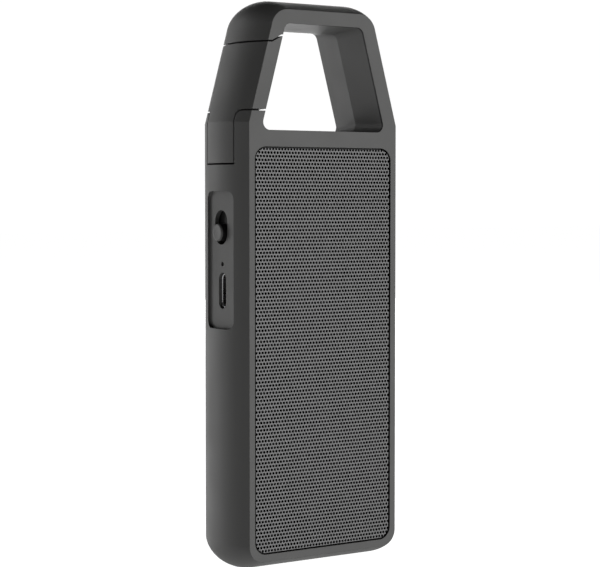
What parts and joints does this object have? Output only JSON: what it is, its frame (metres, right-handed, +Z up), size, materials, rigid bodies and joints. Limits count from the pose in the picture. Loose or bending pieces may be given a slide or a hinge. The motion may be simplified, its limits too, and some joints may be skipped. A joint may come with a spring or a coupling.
{
  "type": "clip-on portable loudspeaker",
  "caption": "Slim upright portable loudspeaker: perforated metal front, bulged band, carabiner handle with a sprung gate, side panel with slide switch and charging port.",
  "frame": {"origin": "middle of the foot, at the lowest point of the bulged band", "axes": "+X to the object's right seen from the front, +Y from the grille to the back, +Z up through the handle"},
  "size_m": [0.0518, 0.0212, 0.1461],
  "materials": {
    "shell_plastic": "fine matt texture, dark warm grey",
    "knob_plastic": "satin",
    "black_plastic": "matt black",
    "grille_metal": "fine perforated, satin grey paint",
    "cloth": "black dust cloth",
    "foam": "black foam",
    "rubber": "matt black rubber",
    "cone_paper": "matt",
    "copper": "wound copper wire",
    "spider_cloth": "corrugated cloth",
    "magnet_steel": "zinc plated",
    "steel": "plain steel",
    "spring_steel": "drawn wire",
    "shell_steel": "bright nickel plate",
    "board_green": "solder mask",
    "battery_foil": "laminated foil",
    "gold_flex": "polyimide film",
    "red_wire": "silicone sleeve",
    "black_wire": "silicone sleeve"
  },
  "bodies": {
    "case": {"housing": "shell_plastic", "gate_pin": "steel", "gate_spring": "spring_steel", "grille": "grille_metal", "grille_gasket": "foam", "dust_cloth": "cloth", "baffle": "black_plastic", "speaker_basket": "black_plastic", "speaker_magnet": "magnet_steel", "speaker_terminal": "black_plastic", "speaker_screws": "steel", "radiator_frame": "black_plastic", "battery_cell": "battery_foil", "battery_pad": "foam", "main_board": "board_green", "board_components": "black_plastic", "board_screws": "steel", "side_board": "board_green", "side_board_screws": "steel", "usb_shell": "shell_steel", "usb_tongue": "black_plastic", "switch_body": "black_plastic", "microphone": "shell_steel", "microphone_boot": "rubber", "ribbon": "gold_flex", "antenna": "gold_flex", "speaker_leads": "red_wire", "battery_leads": "black_wire", "back_cover": "shell_plastic", "back_gasket": "foam", "cover_screws": "steel"},
    "gate": {"gate": "shell_plastic"},
    "switch": {"switch_knob": "knob_plastic", "switch_slider": "black_plastic"},
    "cone": {"speaker_cone": "cone_paper", "speaker_surround": "rubber", "dust_cap": "cone_paper", "voice_coil": "copper", "spider": "spider_cloth"},
    "radiator": {"radiator_plate": "cone_paper", "radiator_surround": "rubber"}
  },
  "joints": [
    {"name": "gate_hinge", "type": "hinge", "parent": "case", "child": "gate", "pos_m": [-0.0202, 0, 0.1074], "axis": [0, 1, 0], "range_deg": [0, 22], "stiffness_Nm_per_rad": 0.03, "springref_deg": -20.05, "deforming": ["gate_spring"]},
    {"name": "switch_slide", "type": "slide", "parent": "case", "child": "switch", "axis": [0, 0, 1], "range_m": [0, 0.0032]},
    {"name": "cone_stroke", "type": "slide", "parent": "case", "child": "cone", "axis": [0, 1, 0], "range_m": [-0.0006, 0.0006], "stiffness_N_per_m": 800},
    {"name": "radiator_stroke", "type": "slide", "parent": "case", "child": "radiator", "axis": [0, 1, 0], "range_m": [-0.0007, 0.0007], "stiffness_N_per_m": 500}
  ]
}
